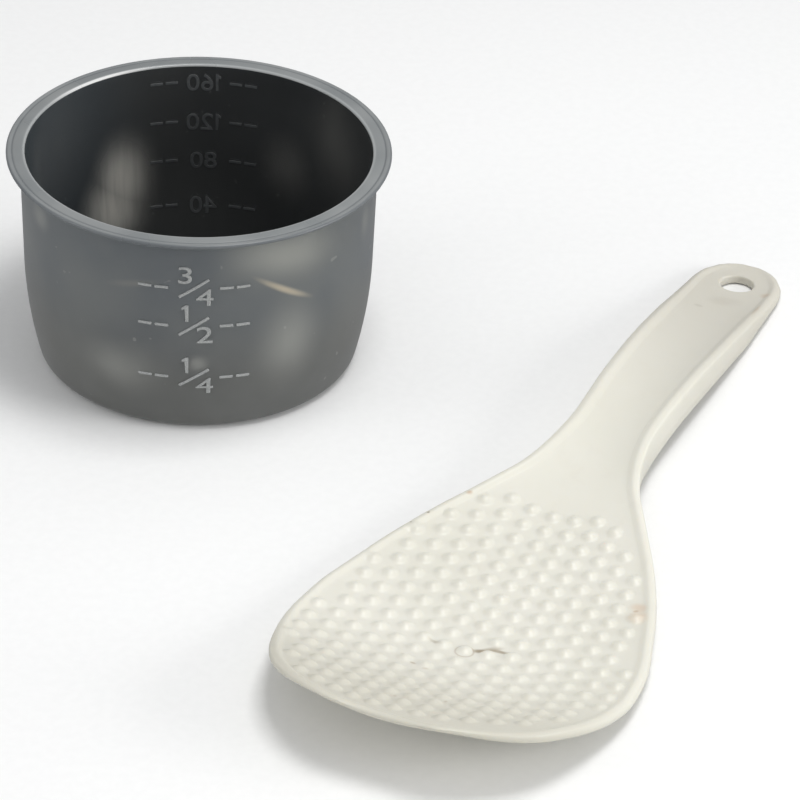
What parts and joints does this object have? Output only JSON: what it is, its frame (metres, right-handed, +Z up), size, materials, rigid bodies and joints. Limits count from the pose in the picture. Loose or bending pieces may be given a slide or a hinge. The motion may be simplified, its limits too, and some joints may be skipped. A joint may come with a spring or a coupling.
{
  "type": "rice measuring cup and rice paddle set",
  "caption": "Translucent graduated measuring cup with a flat ring rim, and a loose rice paddle with a bumped scoop, hollow-backed handle and hang hole.",
  "frame": {"origin": "centre of the cup's underside, on the table", "axes": "+Z up along the cup's axis; -Y to the side that the cupful fractions face; +X to the side of the cup the paddle lies on"},
  "size_m": [0.1671, 0.1938, 0.0478],
  "materials": {
    "smoke_translucent_plastic": "translucent smoke grey, satin",
    "cream_plastic": "cream white, satin"
  },
  "bodies": {
    "cup": {"measuring_cup": "smoke_translucent_plastic"},
    "paddle": {"rice_paddle": "cream_plastic"}
  },
  "joints": [
    {"name": "paddle_lift", "type": "slide", "parent": "cup", "child": "paddle", "axis": [0, 0, 1], "range_m": [0, 0.15]}
  ]
}
